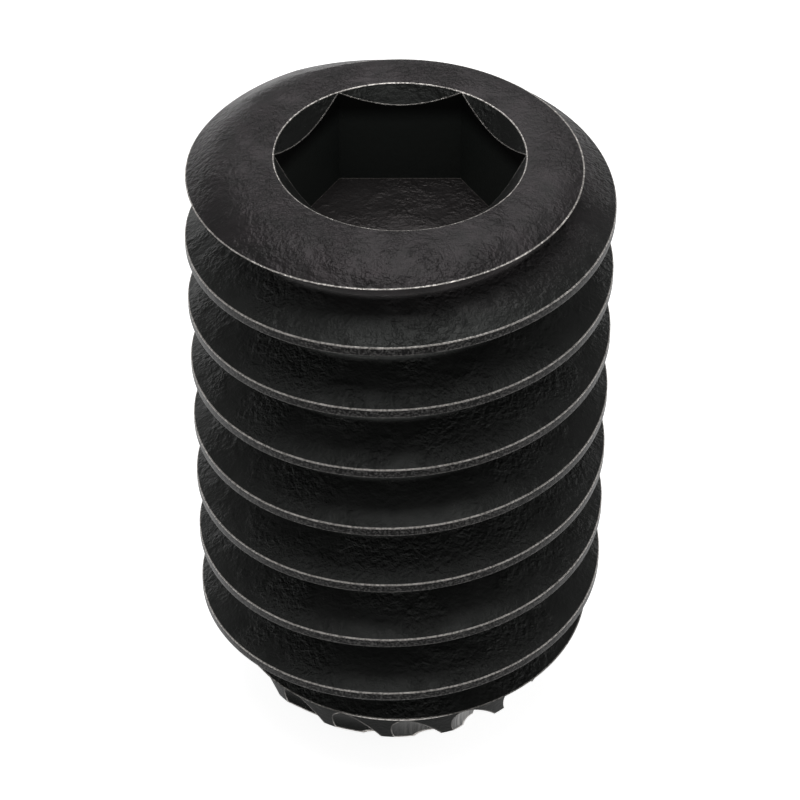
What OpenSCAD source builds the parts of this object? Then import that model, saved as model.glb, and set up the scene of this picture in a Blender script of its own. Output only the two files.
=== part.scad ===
// Socket set screw with a knurled cup point, size 5/16-18 UNC.
// Millimetres. The axis is +Z, the cup rim rests on z = 0 and the socket
// opens upwards. One solid steel piece.

/* [Thread] */
// Diameter over the thread crests
thread_d = 7.938; // [7.6:0.001:8.3]
// Distance from one crest to the next, 18 to the inch
thread_pitch = 1.411; // [1.25:0.001:1.5]
// Depth of the thread from crest to root
thread_depth = 0.84; // [0.7:0.01:0.88]
// Width of the flat on the crest
crest_w = 0.176; // [0.15:0.001:0.26]
// Height of the lowest groove above the rim, measured on the +X side
groove_z = 1.065; // [0.3:0.005:1.7]

/* [Body] */
// Length from the cup rim to the top face
screw_len = 12.7; // [9:0.1:19]
// Width of the rolled and bevelled edge, from the crests in to the flat ring on top
top_edge_w = 1.12; // [0.9:0.01:1.3]
// Radius that rolls the top face over into its bevel
top_round_r = 1.3; // [0.4:0.1:1.6]
// Slope of the top bevel below the horizontal
top_bevel_deg = 35; // [28:1:42]

/* [Socket] */
// Hex socket across its flats, 5/32 inch
hex_af = 3.969; // [3.5:0.001:4.4]
// Depth of the socket
socket_depth = 1.98; // [1.4:0.02:4]
// How far the countersink opens past the hex flats
countersink_w = 0.316; // [0.316:0.002:0.5]
// How far in under the hex flats the countersink starts
countersink_in = 0.2; // [0.1:0.01:0.3]
// Included angle of the countersink
countersink_deg = 95; // [80:1:120]

/* [Cup point] */
// Height of the cone from the rim up to the tooth shoulder
tooth_cone_h = 0.8; // [0.6:0.02:1]
// Angle of the cone below the tooth shoulder, from the axis
tooth_cone_deg = 46; // [38:1:48]
// Height of the neck from the tooth shoulder up to the thread's bevel
neck_h = 0.56; // [0.5:0.02:0.8]
// Step in from the thread's root to the top of the neck
neck_step = 0.01; // [0.01:0.005:0.1]
// Taper of the neck, from its top in to the tooth shoulder
neck_taper = 0.07; // [0.02:0.01:0.2]
// Angle of the bevel from the neck up to the thread, from the axis
point_bevel_deg = 45; // [35:1:50]
// Width of the rim outside the cup
rim_w = 0.3; // [0.2:0.01:0.4]
// Included angle of the cup
cup_deg = 120; // [110:1:140]

/* [Knurl] */
// Number of knurl teeth around the point
teeth = 16; // [14:1:18]
// Width of the land left between two scallops
tooth_land = 0.09; // [0.06:0.01:0.3]
// Lean of each scallop off the radius, so that the teeth bite when backed out
scallop_lean = 48; // [40:1:50]
// Slope of each scallop, down and in towards the rim
scallop_dip = 33; // [30:1:36]
// Height of the scallop's axis above the tooth shoulder
scallop_rise = -0.05; // [-0.15:0.01:0.05]
// Turn of the first scallop from the +X side
scallop_turn = 6.8; // [0:0.1:22.5]
// How far each scallop runs on past the tooth shoulder, along its own axis
scallop_out = 0.55; // [0.5:0.05:0.7]

/* [Hidden] */
$fn = 96;
eps = 0.01;
steps_per_turn = 48;
steel = [0.13, 0.13, 0.13];

thread_r = thread_d / 2;
root_r = thread_r - thread_depth;
hex_corner_r = hex_af / 2 / cos(30);
countersink_r = hex_af / 2 + countersink_w;
countersink_floor_r = hex_af / 2 - countersink_in;
countersink_h = (countersink_r - countersink_floor_r) / tan(countersink_deg / 2);
neck_top_r = root_r - neck_step;
shoulder_r = neck_top_r - neck_taper;
rim_r = shoulder_r - tooth_cone_h * tan(tooth_cone_deg);
cup_r = rim_r - rim_w;
cup_h = cup_r / tan(cup_deg / 2);
neck_top_z = tooth_cone_h + neck_h;
point_bevel_h = (thread_r - neck_top_r) / tan(point_bevel_deg);
round_steps = 8;
top_flat_r = thread_r - top_edge_w;
round_end_r = top_flat_r + top_round_r * sin(top_bevel_deg);
round_end_drop = top_round_r * (1 - cos(top_bevel_deg));
top_bevel_drop = round_end_drop + (thread_r - round_end_r) * tan(top_bevel_deg);
groove_out = 0.1;
groove_turns = ceil(screw_len / thread_pitch) + 2;
tooth_pitch = 2 * PI * shoulder_r / teeth;
scallop_r = (tooth_pitch - tooth_land) / 2 * cos(scallop_lean);
scallop_in = 3;

// Half outline of the blank before threading, from the rim up to the top face
function blank_outline() = concat(
    [[0, 0],
     [rim_r, 0],
     [shoulder_r, tooth_cone_h],
     [neck_top_r, neck_top_z],
     [thread_r, neck_top_z + point_bevel_h],
     [thread_r, screw_len - top_bevel_drop]],
    [for (i = [round_steps : -1 : 0])
        let (a = top_bevel_deg * i / round_steps)
        [top_flat_r + top_round_r * sin(a), screw_len - top_round_r * (1 - cos(a))]],
    [[0, screw_len]]);

// Half width of the V groove at radius r
function groove_half_w(r) =
    (thread_pitch - crest_w) / 2 - (thread_r - r) * tan(30);

module blank() {
    rotate_extrude()
        polygon(blank_outline());
}

// Right-hand V groove with a flat root, wound up the whole length
module thread_groove() {
    out_r = thread_r + groove_out;
    last = groove_turns * steps_per_turn;
    points = [for (i = [0 : last])
        let (a = 360 * i / steps_per_turn,
             z = groove_z + thread_pitch * (i / steps_per_turn - 1))
        for (corner = [[root_r, -1], [out_r, -1], [out_r, 1], [root_r, 1]])
            [corner[0] * cos(a), corner[0] * sin(a),
             z + corner[1] * groove_half_w(corner[0])]];
    sides = [for (i = [0 : last - 1], j = [0 : 3])
        let (a = 4 * i + j, b = 4 * i + (j + 1) % 4)
        for (t = [[a, b, b + 4], [a, b + 4, a + 4]]) t];
    ends = [[3, 2, 1, 0],
            [4 * last, 4 * last + 1, 4 * last + 2, 4 * last + 3]];
    polyhedron(points = points, faces = concat(ends, sides), convexity = 10);
}

// Hex socket with a flat floor and a countersunk mouth
module socket() {
    translate([0, 0, screw_len - socket_depth])
        cylinder(h = socket_depth + eps, r = hex_corner_r, $fn = 6);
    translate([0, 0, screw_len - countersink_h])
        cylinder(h = countersink_h + eps, r1 = countersink_floor_r,
                 r2 = countersink_r + eps * tan(countersink_deg / 2));
}

// Conical hollow of the cup point
module cup() {
    translate([0, 0, -eps])
        cylinder(h = cup_h, r1 = cup_r, r2 = 0);
}

// Ring of leaning scallops, sloping down to the rim, that leaves the knurl teeth standing
module knurl() {
    for (i = [0 : teeth - 1])
        rotate([0, 0, scallop_turn + i * 360 / teeth])
            translate([shoulder_r, 0, tooth_cone_h + scallop_rise])
                rotate([0, 90 - scallop_dip, -scallop_lean])
                    translate([0, 0, -scallop_in])
                        cylinder(h = scallop_in + scallop_out, r = scallop_r, $fn = 32);
}

module set_screw() {
    color(steel)
        difference() {
            blank();
            thread_groove();
            socket();
            cup();
            knurl();
        }
}

set_screw();
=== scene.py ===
"""Socket set screw with a knurled cup point: its finished mesh, its black oxide steel and a plain studio."""

import math

import bmesh
import bpy
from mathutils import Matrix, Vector


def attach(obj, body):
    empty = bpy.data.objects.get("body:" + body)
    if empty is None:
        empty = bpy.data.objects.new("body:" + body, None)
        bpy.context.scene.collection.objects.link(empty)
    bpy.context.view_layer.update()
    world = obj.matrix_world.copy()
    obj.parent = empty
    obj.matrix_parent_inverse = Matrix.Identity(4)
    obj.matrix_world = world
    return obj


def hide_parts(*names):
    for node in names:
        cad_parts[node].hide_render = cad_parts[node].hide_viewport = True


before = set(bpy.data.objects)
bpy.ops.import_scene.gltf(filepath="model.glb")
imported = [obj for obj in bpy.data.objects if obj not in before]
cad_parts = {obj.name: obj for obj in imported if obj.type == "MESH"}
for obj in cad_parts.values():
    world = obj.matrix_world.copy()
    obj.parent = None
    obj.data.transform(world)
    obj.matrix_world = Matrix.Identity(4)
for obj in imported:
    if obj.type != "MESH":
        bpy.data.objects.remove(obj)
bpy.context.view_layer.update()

MM = 0.001

# All sizes of the screw are in millimetres, and it is shaped at that scale before it is shrunk to metres.

# Thread, 5/16-18 UNC; CREST_Z is the height of a crest's middle above the rim on the +X side
THREAD_R = 3.969
THREAD_DEPTH = 0.84
ROOT_R = THREAD_R - THREAD_DEPTH
PITCH = 1.411
FLANK_DEG = 30
CREST_W = 0.176
CREST_Z = 0.359
CREST_ROUND = 0.03
ROOT_ROUND = 0.12

# Body; STOCK_R is the bar that the thread is cut from
LENGTH = 12.7
TOP_FLAT_R = 2.849
TOP_ROUND_R = 1.3
TOP_BEVEL_DEG = 35
STOCK_R = THREAD_R + 0.5

# Socket
HEX_AF = 3.969
HEX_CORNER_R = HEX_AF / 2 / math.cos(math.pi / 6)
SOCKET_DEPTH = 1.98
COUNTERSINK_R = HEX_AF / 2 + 0.316
COUNTERSINK_FLOOR_R = HEX_AF / 2 - 0.2
COUNTERSINK_HALF = math.radians(95 / 2)
COUNTERSINK_ROUND = 0.04

# Cup point
NECK_TOP_R = ROOT_R - 0.01
NECK_TOP_Z = 1.36
SHOULDER_R = NECK_TOP_R - 0.07
SHOULDER_Z = 0.8
RIM_R = SHOULDER_R - SHOULDER_Z * math.tan(math.radians(46))
CUP_R = RIM_R - 0.3
CUP_HALF = math.radians(60)

# Knurl; a scallop runs SCALLOP_IN and SCALLOP_OUT from the shoulder along its own axis
TEETH = 16
TOOTH_LAND = 0.09
SCALLOP_RISE = -0.05
SCALLOP_TURN = math.radians(6.8)
SCALLOP_LEAN = math.radians(48)
SCALLOP_DIP = math.radians(33)
SCALLOP_R = (math.tau * SHOULDER_R / TEETH - TOOTH_LAND) / 2 * math.cos(SCALLOP_LEAN)
SCALLOP_IN = 2.3
SCALLOP_OUT = 0.55

# Fineness of the mesh: steps in a turn, in a small round and in the rolled top edge, sides of a scallop,
# how close two points are when they are welded, and the sharpest angle that is shaded smooth
TURN_STEPS = 144
ROUND_STEPS = 4
TOP_ROUND_STEPS = 12
SCALLOP_SIDES = 48
WELD = 0.0005
SMOOTH_ANGLE = math.radians(25)

# Noises of the oxide; each scale is in repeats per millimetre
OXIDE_NOISES = {
    # Patches 1.4 mm across
    "clouds": {"Scale": 0.7, "Detail": 3, "Roughness": 0.6},
    # Blotches 0.45 mm across
    "dents": {"Scale": 2.2, "Detail": 2, "Roughness": 0.5},
    # Etched grains of 0.1 mm
    "skin": {"Scale": 10, "Detail": 2, "Roughness": 0.6, "Distortion": 0.2},
    # Specks of 0.04 mm
    "grain": {"Scale": 24, "Detail": 2, "Roughness": 0.6},
}
# Streaks of the die are 0.07 mm wide and a third of a radian long, 1.2 mm at the flanks
STREAKS_PER_MM = 14
STREAKS_PER_RADIAN = 3
# Streaks of the knurling wheel are 1 mm long and a 42nd of a radian wide, 0.07 mm at the neck
WHEEL_STREAKS_PER_RADIAN = 42
# How high each pattern stands out of the surface, in the order in which they are laid on
RELIEF = {"dents": 0.007, "skin": 0.068, "streaks": 0.003, "grain": 0.006}

# Heights between which a tone comes in: the warmer top, and the socket below its countersink, painted paler
# as painted light inside the recess
WARM_TOP = (LENGTH - 1.1, LENGTH - 0.7)
SOCKET_TOP = (LENGTH - 0.35, LENGTH - 0.7)
# Radii between which the flank becomes the crest, and depths between which the neck becomes a scallop
CREST_EDGE = (THREAD_R - 0.02, THREAD_R - 0.004)
SCALLOP_EDGE = (0.02, 0.08)
# A face is a wall where the upward share of its normal is less than this
WALL_LIMIT = 0.5
# Rubbed steel: how far it reaches in from an edge; and half widths and heights of the thin lines of painted
# highlight and painted glint
RUB_REACH = 0.027
LINE_HALF_W = 0.011
LINE_HALF_H = 0.036
FLOOR_LINE_HALF_H = 0.016

# Colour sockets of a Mix node: its two inputs and its result
MIX_UNDER, MIX_OVER, MIX_RESULT = 6, 7, 2

# Studio, in millimetres, degrees and watts
CAMERA_LENS = 148.95
CAMERA_SENSOR = 36
CAMERA_PLACE = (0, -48.98, 47.643)
CAMERA_ELEVATION = 39.748
FLOOR_SIZE = 2000
FLOOR_GLOW = 0.9
WORLD_STRENGTH = 0.24
SOFT_BOXES = (
    # name, place, size, power
    ("back_box", (0, 92, 116), 60, 0.036),
    ("top_box", (0, -5, 150), 90, 0.085),
    ("left_box", (-50, 115, 14), 30, 0.004),
    ("right_box", (115, 25, 14), 40, 0.003),
)


def deselect_all():
    if bpy.context.object and bpy.context.object.mode != "OBJECT":
        bpy.ops.object.mode_set(mode="OBJECT")
    bpy.ops.object.select_all(action="DESELECT")


def make_active(piece):
    deselect_all()
    piece.select_set(True)
    bpy.context.view_layer.objects.active = piece


def profile_wire(name, points):
    """A chain of edges in the XZ plane, extruded point by point; points are (radius, height)."""
    deselect_all()
    bpy.ops.mesh.primitive_plane_add(size=1, location=(0, 0, 0))
    wire = bpy.context.object
    wire.name = name
    bpy.ops.object.mode_set(mode="EDIT")
    bpy.ops.mesh.select_all(action="SELECT")
    bpy.ops.mesh.merge(type="CENTER")
    here = Vector((0, 0, 0))
    for i, (r, z) in enumerate(points):
        there = Vector((r, 0, z))
        if i == 0:
            bpy.ops.transform.translate(value=there)
        else:
            bpy.ops.mesh.extrude_vertices_move(TRANSFORM_OT_translate={"value": there - here})
        here = there
    bpy.ops.object.mode_set(mode="OBJECT")
    return wire


def apply_modifier(piece, kind, **settings):
    make_active(piece)
    bpy.ops.object.modifier_add(type=kind)
    modifier = piece.modifiers[-1]
    for key, value in settings.items():
        setattr(modifier, key, value)
    bpy.ops.object.modifier_apply(modifier=modifier.name)


def tidy_shell(piece):
    """Welds points that fall together and turns every face outwards."""
    make_active(piece)
    bpy.ops.object.mode_set(mode="EDIT")
    bpy.ops.mesh.select_all(action="SELECT")
    bpy.ops.mesh.remove_doubles(threshold=WELD)
    bpy.ops.mesh.normals_make_consistent(inside=False)
    bpy.ops.object.mode_set(mode="OBJECT")


def turn_profile(piece, rise=0.0, turns=1):
    """Spins a profile wire round Z; with a rise it climbs as a right-hand helix."""
    apply_modifier(
        piece, "SCREW", axis="Z", angle=math.tau, steps=TURN_STEPS, render_steps=TURN_STEPS,
        screw_offset=rise, iterations=turns, use_merge_vertices=True, merge_threshold=2 * WELD,
    )
    tidy_shell(piece)


def cut(piece, tool, how="DIFFERENCE"):
    """Exact boolean of piece with tool, which is then deleted."""
    apply_modifier(piece, "BOOLEAN", operation=how, solver="EXACT", object=tool)
    bpy.data.objects.remove(tool)


def arc(centre_r, centre_z, radius, start, end, count):
    """Points of a round in a profile; angles in degrees from the outward radius."""
    points = []
    for i in range(count + 1):
        a = math.radians(start + (end - start) * i / count)
        points.append((centre_r + radius * math.cos(a), centre_z + radius * math.sin(a)))
    return points


def setback(radius, turn):
    """How far before a corner its round starts, tangent to both sides, where the corner turns this much."""
    return radius * math.tan(turn / 2)


def one_pitch_profile():
    """One pitch of the thread, from the middle of a root up to the middle of the next."""
    flank = math.radians(FLANK_DEG)
    turn = math.pi / 2 - flank
    crest_z = CREST_W / 2 - setback(CREST_ROUND, turn)
    root_half = (PITCH - CREST_W) / 2 - (THREAD_R - ROOT_R) * math.tan(flank)
    root_z = PITCH / 2 - root_half + setback(ROOT_ROUND, turn)
    upper = arc(THREAD_R - CREST_ROUND, crest_z, CREST_ROUND, 0, 90 - FLANK_DEG, ROUND_STEPS)
    upper += arc(ROOT_R + ROOT_ROUND, root_z, ROOT_ROUND, 270 - FLANK_DEG, 180, ROUND_STEPS)
    lower = [(r, -z) for r, z in reversed(upper)]
    return [(ROOT_R, -PITCH / 2)] + lower + upper + [(ROOT_R, PITCH / 2)]


def close_to_axis(piece):
    """Draws each open rim of the rod in to one point, so that the rod is closed beyond the blank's ends."""
    make_active(piece)
    for side in (-1, 1):
        bpy.ops.object.mode_set(mode="EDIT")
        bpy.ops.mesh.select_all(action="DESELECT")
        bpy.ops.mesh.select_mode(type="EDGE")
        bpy.ops.mesh.select_non_manifold(
            extend=False, use_wire=False, use_boundary=True, use_multi_face=False,
            use_non_contiguous=False, use_verts=False,
        )
        mesh = bmesh.from_edit_mesh(piece.data)
        for edge in mesh.edges:
            if edge.select and (sum(v.co.z for v in edge.verts) - LENGTH) * side < 0:
                edge.select_set(False)
        mesh.select_flush_mode()
        bmesh.update_edit_mesh(piece.data)
        bpy.ops.mesh.extrude_edges_move()
        bpy.ops.mesh.merge(type="CENTER")
        bpy.ops.object.mode_set(mode="OBJECT")


def threaded_rod():
    """A threaded rod that starts well below the rim and runs on past the top face."""
    turns_below, turns_beyond = 3, 2
    turns = math.ceil(LENGTH / PITCH) + turns_below + turns_beyond
    start = CREST_Z - turns_below * PITCH
    rod = profile_wire("thread_rod", [(r, z + start) for r, z in one_pitch_profile()])
    turn_profile(rod, rise=PITCH, turns=turns)
    close_to_axis(rod)
    tidy_shell(rod)
    return rod


def blank_profile():
    """Turned outline of the screw, from the bottom of the cup round the outside to the countersink."""
    top_bevel = math.radians(TOP_BEVEL_DEG)
    cup_h = CUP_R / math.tan(CUP_HALF)
    points = [(0, cup_h), (CUP_R, 0), (RIM_R, 0), (SHOULDER_R, SHOULDER_Z), (NECK_TOP_R, NECK_TOP_Z)]
    # The bevel above the neck rises at 45 degrees
    points.append((STOCK_R, NECK_TOP_Z + STOCK_R - NECK_TOP_R))
    round_end_r = TOP_FLAT_R + TOP_ROUND_R * math.sin(top_bevel)
    round_end_z = LENGTH - TOP_ROUND_R * (1 - math.cos(top_bevel))
    points.append((STOCK_R, round_end_z - (STOCK_R - round_end_r) * math.tan(top_bevel)))
    points += arc(TOP_FLAT_R, LENGTH - TOP_ROUND_R, TOP_ROUND_R, 90 - TOP_BEVEL_DEG, 90, TOP_ROUND_STEPS)
    # The mouth of the countersink is broken by a small round, tangent to the top face and to the cone
    turn = math.pi / 2 - COUNTERSINK_HALF
    points += arc(
        COUNTERSINK_R + setback(COUNTERSINK_ROUND, turn), LENGTH - COUNTERSINK_ROUND, COUNTERSINK_ROUND,
        90, 90 + math.degrees(turn), ROUND_STEPS,
    )
    floor_z = LENGTH - (COUNTERSINK_R - COUNTERSINK_FLOOR_R) / math.tan(COUNTERSINK_HALF)
    points += [(COUNTERSINK_FLOOR_R, floor_z), (0, floor_z)]
    return points


def hex_cutter():
    """A hex bar from the socket's floor up to 1 mm above the top face, with flats to -Y and +Y."""
    deselect_all()
    height = SOCKET_DEPTH + 1
    bpy.ops.mesh.primitive_cylinder_add(
        vertices=6, radius=HEX_CORNER_R, depth=height,
        location=(0, 0, LENGTH - SOCKET_DEPTH + height / 2), rotation=(0, 0, math.radians(30)),
    )
    return bpy.context.object


def scallop_cutters():
    """Cylinders that lean off the radius and slope down to the rim, one for each gap between two teeth."""
    cutters = []
    length = SCALLOP_IN + SCALLOP_OUT
    middle = (SCALLOP_OUT - SCALLOP_IN) / 2
    for i in range(TEETH):
        spot = SCALLOP_TURN + i * math.tau / TEETH
        lean = spot - SCALLOP_LEAN
        along = Vector((
            math.cos(SCALLOP_DIP) * math.cos(lean),
            math.cos(SCALLOP_DIP) * math.sin(lean),
            math.sin(SCALLOP_DIP),
        ))
        start = Vector((
            SHOULDER_R * math.cos(spot), SHOULDER_R * math.sin(spot), SHOULDER_Z + SCALLOP_RISE,
        ))
        deselect_all()
        bpy.ops.mesh.primitive_cylinder_add(
            vertices=SCALLOP_SIDES, radius=SCALLOP_R, depth=length,
            location=start + middle * along, rotation=(0, math.pi / 2 - SCALLOP_DIP, lean),
        )
        cutters.append(bpy.context.object)
    return cutters


def build_screw():
    screw = profile_wire("set_screw_finished", blank_profile())
    turn_profile(screw)
    cut(screw, hex_cutter())
    for cutter in scallop_cutters():
        cut(screw, cutter)
    cut(screw, threaded_rod(), how="INTERSECT")
    tidy_shell(screw)
    bpy.ops.object.mode_set(mode="EDIT")
    bpy.ops.mesh.select_all(action="SELECT")
    bpy.ops.transform.resize(value=(MM, MM, MM), center_override=(0, 0, 0))
    bpy.ops.object.mode_set(mode="OBJECT")
    bpy.ops.object.shade_smooth_by_angle(angle=SMOOTH_ANGLE)
    return screw


def linear(hex_colour):
    """sRGB hex to the linear colour that a socket takes."""
    channels = [int(hex_colour[i:i + 2], 16) / 255 for i in (1, 3, 5)]
    return [c / 12.92 if c <= 0.04045 else ((c + 0.055) / 1.055) ** 2.4 for c in channels] + [1]


def add_node(tree, kind, settings=None, inputs=None):
    """Adds one node with its settings. An input is a plain value, or is linked to an output or to the first
    output of another node."""
    node = tree.nodes.new("ShaderNode" + kind)
    for key, value in (settings or {}).items():
        setattr(node, key, value)
    for key, value in (inputs or {}).items():
        if isinstance(value, bpy.types.Node):
            value = value.outputs[0]
        if isinstance(value, bpy.types.NodeSocket):
            tree.links.new(value, node.inputs[key])
        else:
            node.inputs[key].default_value = value
    return node


def screw_places(tree):
    """A surface point's place in millimetres, its distance and direction from the axis, and the upward
    share of its normal."""
    place = add_node(tree, "TexCoord")
    millimetres = add_node(
        tree, "Mapping", None, {"Vector": place.outputs["Object"], "Scale": [1 / MM] * 3},
    )
    split = add_node(tree, "SeparateXYZ", None, {"Vector": millimetres})
    flat = add_node(tree, "CombineXYZ", None, {"X": split.outputs["X"], "Y": split.outputs["Y"]})
    radius = add_node(tree, "VectorMath", {"operation": "LENGTH"}, {0: flat})
    around = add_node(tree, "VectorMath", {"operation": "NORMALIZE"}, {0: flat})
    facing = add_node(tree, "NewGeometry")
    facing_up = add_node(tree, "SeparateXYZ", None, {"Vector": facing.outputs["Normal"]})
    return {
        "millimetres": millimetres, "x": split.outputs["X"], "z": split.outputs["Z"],
        "radius": radius.outputs["Value"], "around": around, "facing_up": facing_up.outputs["Z"],
    }


def oxide_patterns(tree, at):
    """The noises over the whole screw, with the skin held back to patches on its open sides."""
    patterns = {
        name: add_node(tree, "TexNoise", None, {"Vector": at["millimetres"], **noise})
        for name, noise in OXIDE_NOISES.items()
    }
    # The die leaves its streaks along the thread
    along = add_node(
        tree, "VectorMath", {"operation": "SCALE"}, {0: at["around"], "Scale": STREAKS_PER_RADIAN},
    )
    height = add_node(tree, "Math", {"operation": "MULTIPLY"}, {0: at["z"], 1: STREAKS_PER_MM})
    lift = add_node(tree, "CombineXYZ", None, {"Z": height})
    streak_place = add_node(tree, "VectorMath", {"operation": "ADD"}, {0: along, 1: lift})
    outward = add_node(tree, "Math", {"operation": "MULTIPLY"}, {0: at["radius"], 1: STREAKS_PER_MM})
    patterns["streaks"] = add_node(
        tree, "TexNoise", {"noise_dimensions": "4D"},
        {"Vector": streak_place, "W": outward, "Scale": 1, "Detail": 3, "Roughness": 0.6, "Distortion": 0.4},
    )
    # Upright walls stay smooth
    patch = add_node(
        tree, "MapRange", {"interpolation_type": "SMOOTHSTEP"},
        {"Value": patterns["clouds"], "From Min": 0.4, "From Max": 0.62, "To Min": 0.2},
    )
    open_side = add_node(
        tree, "MapRange", None,
        {"Value": at["facing_up"], "From Min": WALL_LIMIT, "From Max": 0.8, "To Min": 0.12},
    )
    patch = add_node(tree, "Math", {"operation": "MULTIPLY"}, {0: patch, 1: open_side})
    patterns["skin"] = add_node(tree, "Math", {"operation": "MULTIPLY"}, {0: patterns["skin"], 1: patch})
    return patterns


def screw_regions(tree, at):
    """Masks of the screw's own regions, 1 in the region and 0 outside it."""
    regions = {}
    for name, measure, limit in (
        ("mouth", at["radius"], COUNTERSINK_R),
        ("wall", at["facing_up"], WALL_LIMIT),
        ("point", at["z"], NECK_TOP_Z),
    ):
        regions[name] = add_node(tree, "Math", {"operation": "LESS_THAN"}, {0: measure, 1: limit})

    # A scallop's wall lies deeper than the cone and cylinder of the point, out of which it is cut
    cone_r = add_node(
        tree, "Math", {"operation": "MULTIPLY_ADD"},
        {0: at["z"], 1: (SHOULDER_R - RIM_R) / SHOULDER_Z, 2: RIM_R},
    )
    uncut_r = add_node(tree, "Math", {"operation": "MINIMUM"}, {0: cone_r, 1: SHOULDER_R})
    depth = add_node(tree, "Math", {"operation": "SUBTRACT"}, {0: uncut_r, 1: at["radius"]})
    for name, measure, (begin, full) in (
        ("top", at["z"], WARM_TOP),
        ("sunk", at["z"], SOCKET_TOP),
        ("crest", at["radius"], CREST_EDGE),
        ("cut", depth, SCALLOP_EDGE),
    ):
        regions[name] = add_node(
            tree, "MapRange", None, {"Value": measure, "From Min": begin, "From Max": full},
        )
    for name, first, second in (("socket", "mouth", "sunk"), ("scallop", "cut", "point")):
        regions[name] = add_node(
            tree, "Math", {"operation": "MULTIPLY"}, {0: regions[first], 1: regions[second]},
        )
    return regions


def rubbed_edges_and_painted_highlights(tree, at, patterns, regions):
    """How pale the steel shows: rubbed along every edge, with painted highlight on the edges' upper sides
    and the crests' upper rounds, and painted highlight and glints in three lines.
    """
    # A ray sent inwards from the surface soon leaves the metal again only beside an edge
    edge = add_node(
        tree, "AmbientOcclusion", {"inside": True, "only_local": True, "samples": 5},
        {"Distance": RUB_REACH * MM},
    )
    near_edge = add_node(
        tree, "MapRange", None, {"Value": edge.outputs["AO"], "From Min": 0.96, "From Max": 0.82},
    )
    # The side of an edge that faces up is painted brighter, a painted highlight
    up_side = add_node(
        tree, "MapRange", None,
        {"Value": at["facing_up"], "From Min": -0.25, "From Max": 0.25, "To Min": 0.15},
    )
    wear_and_highlights = add_node(tree, "Math", {"operation": "MULTIPLY"}, {0: near_edge, 1: up_side})

    # The upper round of each crest gets a painted highlight
    outermost = add_node(
        tree, "Math", {"operation": "GREATER_THAN"}, {0: at["radius"], 1: THREAD_R - 0.7 * CREST_ROUND},
    )
    tilted_up = add_node(
        tree, "MapRange", None,
        {"Value": at["facing_up"], "From Min": 0.12, "From Max": 0.4, "To Max": 0.78},
    )
    lines = [add_node(tree, "Math", {"operation": "MULTIPLY"}, {0: outermost, 1: tilted_up})]

    # Bright lines round the mouth of the countersink, a painted highlight on its round, and in the corner
    # above the neck, a painted glint
    for line_r, line_z in ((COUNTERSINK_R, LENGTH), (NECK_TOP_R, NECK_TOP_Z)):
        at_r = add_node(
            tree, "Math", {"operation": "COMPARE"}, {0: at["radius"], 1: line_r, 2: LINE_HALF_W},
        )
        at_z = add_node(tree, "Math", {"operation": "COMPARE"}, {0: at["z"], 1: line_z, 2: LINE_HALF_H})
        lines.append(add_node(tree, "Math", {"operation": "MULTIPLY"}, {0: at_r, 1: at_z}))
    # A fainter painted glint lies in the corner round the socket's floor
    at_floor = add_node(
        tree, "Math", {"operation": "COMPARE"},
        {0: at["z"], 1: LENGTH - SOCKET_DEPTH, 2: FLOOR_LINE_HALF_H},
    )
    corner = add_node(tree, "Math", {"operation": "MULTIPLY"}, {0: regions["wall"], 1: at_floor})
    lines.append(add_node(tree, "Math", {"operation": "MULTIPLY"}, {0: corner, 1: regions["socket"]}))
    for line in lines:
        wear_and_highlights = add_node(tree, "Math", {"operation": "MAXIMUM"}, {0: wear_and_highlights, 1: line})

    # No edge is rubbed evenly, and no line is evenly bright
    uneven = add_node(
        tree, "MapRange", None,
        {"Value": patterns["grain"], "From Min": 0.38, "From Max": 0.56, "To Min": 0.4},
    )
    return add_node(tree, "Math", {"operation": "MULTIPLY"}, {0: wear_and_highlights, 1: uneven})


def wheel_streaks_and_painted_highlight(tree, at):
    """How bright a scallop's wall is: a painted highlight, streaked downwards by the knurling wheel and
    painted brighter towards +X.
    """
    turn = add_node(
        tree, "VectorMath", {"operation": "SCALE"}, {0: at["around"], "Scale": WHEEL_STREAKS_PER_RADIAN},
    )
    place = add_node(tree, "VectorMath", {"operation": "ADD"}, {0: turn, 1: at["millimetres"]})
    wheel = add_node(
        tree, "TexNoise", None,
        {"Vector": place, "Scale": 1, "Detail": 2, "Roughness": 0.6, "Distortion": 0.3},
    )
    bands = add_node(
        tree, "MapRange", None,
        {"Value": wheel, "From Min": 0.36, "From Max": 0.66, "To Min": 0.1, "To Max": 0.8},
    )
    # Painted light: the walls are painted brighter towards the +X side
    painted_light_to_plus_x = add_node(tree, "MapRange", None, {"Value": at["x"], "From Min": -0.3, "From Max": 1.6})
    return add_node(tree, "Math", {"operation": "MULTIPLY"}, {0: bands, 1: painted_light_to_plus_x})


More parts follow.
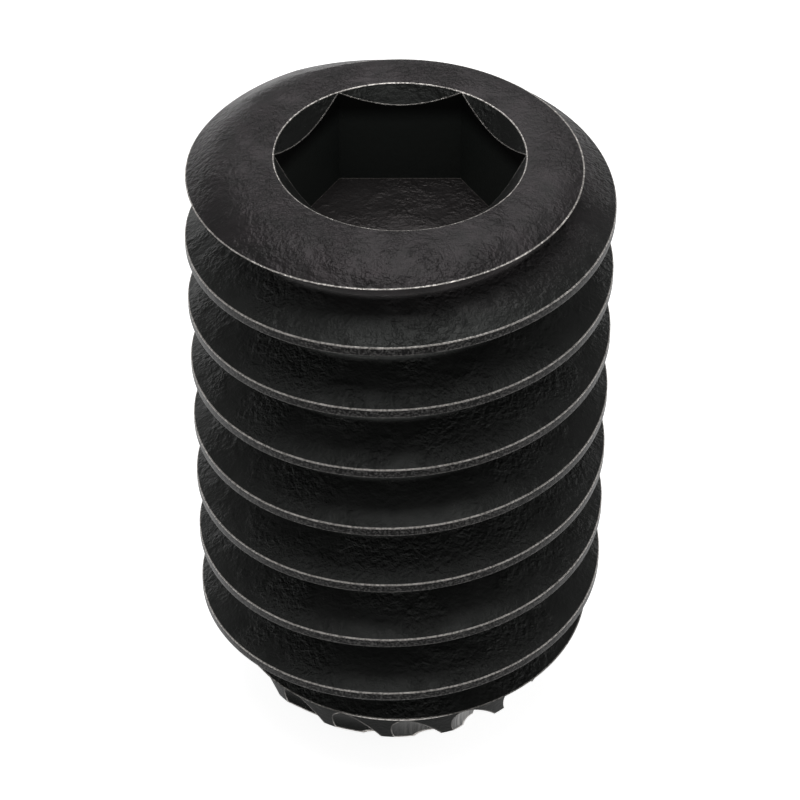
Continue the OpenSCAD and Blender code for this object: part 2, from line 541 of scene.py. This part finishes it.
def black_oxide_steel():
    """Black oxide on turned steel: a satin, nearly black skin of fine etched grains that show in patches, a
    little warmer on the top. The crests are dull with pale specks, and steel shows bright where handling has
    rubbed the oxide off an edge. Light and shade are painted in too: painted shade darkens the countersink
    and the point, painted light makes the socket paler, the scallops' walls carry a painted highlight
    streaked by the knurling wheel and brighter towards +X, and up-facing edges, the crests' upper rounds and
    three thin lines carry painted highlights and glints."""
    material = bpy.data.materials.new("black oxide steel")
    material.use_nodes = True
    tree = material.node_tree
    shader = tree.nodes["Principled BSDF"]
    at = screw_places(tree)
    patterns = oxide_patterns(tree, at)
    regions = screw_regions(tree, at)
    crest_specks = add_node(
        tree, "MapRange", None, {"Value": patterns["grain"], "From Min": 0.46, "From Max": 0.66},
    )

    # Tones that run from one colour to another with a share
    tones = {}
    for name, share, at_none, at_full in (
        # The paler oxide is neutral on the flanks and warmer on the top, where fingers and keys touch it
        ("pale", regions["top"], "#3e3f3e", "#454042"),
        # The socket's floor, and its walls, which are a greener black; both are painted paler than the
        # flanks, as painted light inside the recess
        ("socket", regions["wall"], "#444141", "#4f5451"),
        ("crest", crest_specks, "#050505", "#403f3e"),
        # A scallop's wall runs from near black to a pale painted highlight
        ("scallop", wheel_streaks_and_painted_highlight(tree, at), "#0e0f0e", "#a3a19e"),
    ):
        tones[name] = add_node(
            tree, "Mix", {"data_type": "RGBA"},
            {"Factor": share, MIX_UNDER: linear(at_none), MIX_OVER: linear(at_full)},
        ).outputs[MIX_RESULT]

    # Coats laid one after another over the darkest oxide of the flanks
    coat = linear("#2c2d2c")
    for mask, tone in (
        (patterns["dents"], tones["pale"]),
        # Painted shade: the countersink is painted darker than the flanks and the top
        (regions["mouth"], linear("#262726")),
        # Painted light: the socket is painted paler than the flanks
        (regions["socket"], tones["socket"]),
        # Painted shade: the whole point below the neck is painted near black
        (regions["point"], linear("#0e0f0e")),
        (regions["crest"], tones["crest"]),
        (regions["scallop"], tones["scallop"]),
        # Pale steel: rubbed edges, with painted highlights and painted glints
        (rubbed_edges_and_painted_highlights(tree, at, patterns, regions), linear("#dad5d0")),
    ):
        coat = add_node(
            tree, "Mix", {"data_type": "RGBA"}, {"Factor": mask, MIX_UNDER: coat, MIX_OVER: tone},
        ).outputs[MIX_RESULT]
    tree.links.new(coat, shader.inputs["Base Color"])

    # Satin, a little duller in the patches
    gloss = add_node(
        tree, "MapRange", None,
        {"Value": patterns["clouds"], "From Min": 0.35, "From Max": 0.65, "To Min": 0.42, "To Max": 0.46},
    )
    tree.links.new(gloss.outputs[0], shader.inputs["Roughness"])
    # The oxide is a thin film, so the steel under it still mirrors the room, and the film itself adds little
    shader.inputs["Metallic"].default_value = 0.72
    shader.inputs["Specular IOR Level"].default_value = 0.2

    relief = {}
    for name, height in RELIEF.items():
        bump = add_node(
            tree, "Bump", None,
            {"Height": patterns[name], "Strength": 1, "Distance": height * MM, **relief},
        )
        relief = {"Normal": bump}
    tree.links.new(bump.outputs[0], shader.inputs["Normal"])
    return material


def white_card():
    """Matt white card that stays white to the eye and in reflections, and keeps a soft shadow."""
    material = bpy.data.materials.new("white card")
    material.use_nodes = True
    tree = material.node_tree
    shader = tree.nodes["Principled BSDF"]
    shader.inputs["Base Color"].default_value = linear("#d8d8d8")
    shader.inputs["Roughness"].default_value = 0.9
    shader.inputs["Emission Color"].default_value = linear("#ffffff")
    path = add_node(tree, "LightPath")
    seen = add_node(
        tree, "Math", {"operation": "ADD"},
        {0: path.outputs["Is Camera Ray"], 1: path.outputs["Is Glossy Ray"]},
    )
    seen = add_node(
        tree, "Math", {"operation": "ADD", "use_clamp": True},
        {0: seen, 1: path.outputs["Is Transmission Ray"]},
    )
    glow = add_node(tree, "Math", {"operation": "MULTIPLY"}, {0: seen, 1: FLOOR_GLOW})
    tree.links.new(glow.outputs[0], shader.inputs["Emission Strength"])
    return material


def soft_box(name, place, size, power):
    """A square area light that faces the middle of the screw."""
    deselect_all()
    bpy.ops.object.light_add(type="AREA", location=[c * MM for c in place])
    lamp = bpy.context.object
    lamp.name = name
    lamp.data.shape = "SQUARE"
    lamp.data.size = size * MM
    lamp.data.energy = power
    aim = Vector((0, 0, LENGTH / 2)) - Vector(place)
    lamp.rotation_euler = aim.to_track_quat("-Z", "Y").to_euler()
    lamp.visible_camera = False


screw = build_screw()
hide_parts("set_screw")
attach(screw, "root")
screw.data.materials.clear()
screw.data.materials.append(black_oxide_steel())

camera_data = bpy.data.cameras.new("camera")
camera_data.lens = CAMERA_LENS
camera_data.sensor_width = CAMERA_SENSOR
camera_data.clip_start = MM
camera = bpy.data.objects.new("camera", camera_data)
camera.location = [c * MM for c in CAMERA_PLACE]
camera.rotation_euler = (math.radians(90 - CAMERA_ELEVATION), 0, 0)
bpy.context.collection.objects.link(camera)
bpy.context.scene.camera = camera

deselect_all()
bpy.ops.mesh.primitive_plane_add(size=FLOOR_SIZE * MM, location=(0, 0, 0))
floor = bpy.context.object
floor.name = "floor"
floor.data.materials.append(white_card())

for box in SOFT_BOXES:
    soft_box(*box)

world = bpy.data.worlds.new("studio")
bpy.context.scene.world = world
world.use_nodes = True
background = world.node_tree.nodes["Background"]
background.inputs["Color"].default_value = linear("#ffffff")
background.inputs["Strength"].default_value = WORLD_STRENGTH

bpy.context.scene.view_settings.view_transform = "Standard"
